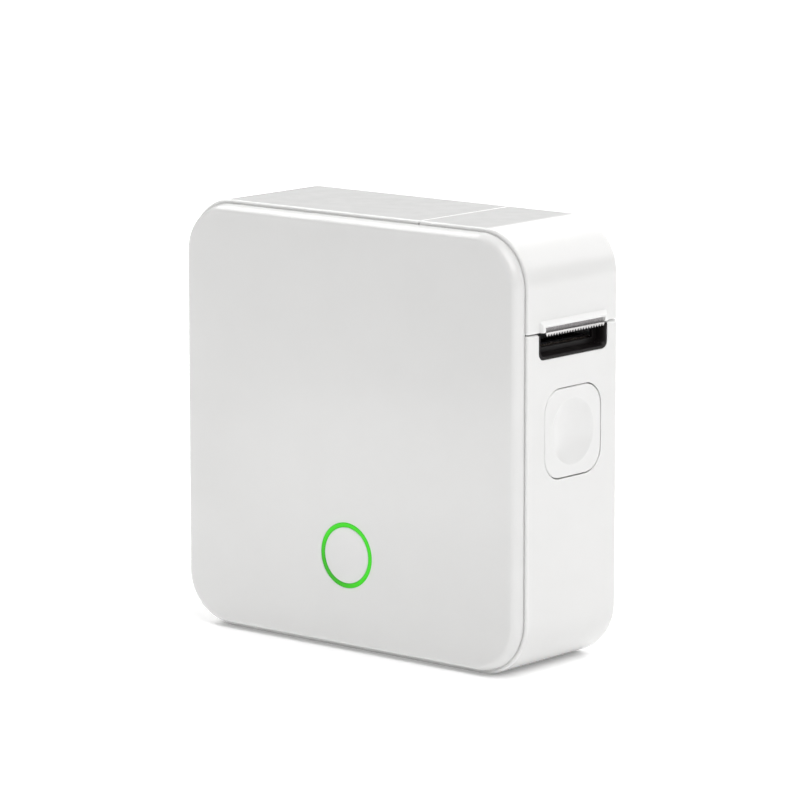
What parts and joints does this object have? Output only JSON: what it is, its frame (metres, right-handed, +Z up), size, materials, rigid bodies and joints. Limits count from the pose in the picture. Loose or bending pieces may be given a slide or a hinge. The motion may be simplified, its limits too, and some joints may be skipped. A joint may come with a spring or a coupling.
{
  "type": "thermal label printer",
  "caption": "Pocket thermal label printer: slim square case with round corners, hinged corner lid, side outlet with tear blade, release button and ringed power button.",
  "frame": {"origin": "middle of the footprint, on the surface that the printer stands on", "axes": "+X to the outlet and release button side, -Y out of the front cover, +Z up"},
  "size_m": [0.0806, 0.028, 0.08],
  "materials": {
    "shell_white": "satin",
    "button_white": "satin",
    "outlet_black": "matte",
    "ring_green": "lit from behind",
    "steel": "ground",
    "spring_steel": "bright wire",
    "aluminium": "satin",
    "frame_grey": "fine texture",
    "gear_plastic": "smooth",
    "platen_rubber": "ground matte",
    "head_ceramic": "polished glaze line",
    "board_green": "solder mask",
    "chip_black": "matte",
    "battery_wrap": "heat-shrunk film",
    "label_paper": "smooth",
    "core_card": "raw",
    "cable_black": "satin"
  },
  "bodies": {
    "case": {"front_cover": "shell_white", "rear_housing": "shell_white", "outlet_bezel": "outlet_black", "light_ring": "ring_green", "hinge_pin": "steel", "lid_spring": "spring_steel", "release_spring": "spring_steel", "roll_bay": "frame_grey", "head_spring_1": "spring_steel", "head_spring_2": "spring_steel", "paper_sensor": "chip_black", "gear_plate": "steel", "idler_axle": "steel", "reduction_axle": "steel", "motor": "steel", "motor_screw_1": "steel", "motor_screw_2": "steel", "main_board": "board_green", "power_switch": "chip_black", "main_chip": "chip_black", "radio_module": "chip_black", "head_socket": "chip_black", "motor_socket": "chip_black", "battery_socket": "chip_black", "usb_port": "steel", "battery": "battery_wrap", "head_cable": "cable_black", "motor_cable": "cable_black", "battery_cable": "cable_black", "case_screw_1": "steel", "case_screw_2": "steel", "case_screw_3": "steel", "case_screw_4": "steel", "board_screw_1": "steel", "board_screw_2": "steel", "board_screw_3": "steel", "bay_screw_1": "steel", "bay_screw_2": "steel"},
    "lid": {"lid": "shell_white", "tear_blade": "steel", "platen_bush_front": "gear_plastic", "platen_bush_rear": "gear_plastic"},
    "platen": {"platen_roller": "platen_rubber", "platen_shaft": "steel", "platen_gear": "gear_plastic"},
    "idler": {"idler_gear": "gear_plastic"},
    "reduction": {"reduction_gear": "gear_plastic"},
    "pinion": {"motor_pinion": "steel"},
    "release": {"release_button": "button_white", "latch_bar": "frame_grey"},
    "power": {"power_button": "button_white"},
    "head": {"print_head": "head_ceramic", "head_bracket": "aluminium"},
    "roll": {"label_roll": "label_paper", "roll_core": "core_card"}
  },
  "joints": [
    {"name": "lid_hinge", "type": "hinge", "parent": "case", "child": "lid", "pos_m": [0.01793, 0, 0.0779], "axis": [0, -1, 0], "range_deg": [0, 80], "deforming": ["lid_spring"]},
    {"name": "platen_spin", "type": "hinge", "parent": "lid", "child": "platen", "pos_m": [0.0334, 0, 0.0626], "axis": [0, -1, 0], "continuous": true},
    {"name": "idler_spin", "type": "hinge", "parent": "case", "child": "idler", "pos_m": [0.02354, 0, 0.05577], "axis": [0, -1, 0], "continuous": true},
    {"name": "reduction_spin", "type": "hinge", "parent": "case", "child": "reduction", "pos_m": [0.01928, 0, 0.04562], "axis": [0, -1, 0], "continuous": true},
    {"name": "pinion_spin", "type": "hinge", "parent": "case", "child": "pinion", "pos_m": [0.027, 0, 0.041], "axis": [0, -1, 0], "continuous": true},
    {"name": "release_slide", "type": "slide", "parent": "case", "child": "release", "axis": [-1, 0, 0], "range_m": [0, 0.0015], "stiffness_N_per_m": 300, "springref_m": -0.001, "deforming": ["release_spring"]},
    {"name": "power_press", "type": "slide", "parent": "case", "child": "power", "axis": [0, 1, 0], "range_m": [0, 0.00025], "stiffness_N_per_m": 1500, "springref_m": -0.0002},
    {"name": "head_press", "type": "slide", "parent": "case", "child": "head", "axis": [0, 0, -1], "range_m": [0, 0.0004], "stiffness_N_per_m": 1500, "springref_m": -0.0008, "deforming": ["head_spring_1", "head_spring_2"]},
    {"name": "roll_spin", "type": "hinge", "parent": "case", "child": "roll", "pos_m": [0.0165, 0, 0.06], "axis": [0, -1, 0], "continuous": true}
  ],
  "couplings": [
    {"joint": "idler_spin", "follows": "platen_spin", "ratio": -0.5},
    {"joint": "reduction_spin", "follows": "platen_spin", "ratio": 1.3333},
    {"joint": "pinion_spin", "follows": "platen_spin", "ratio": -3.4667}
  ]
}
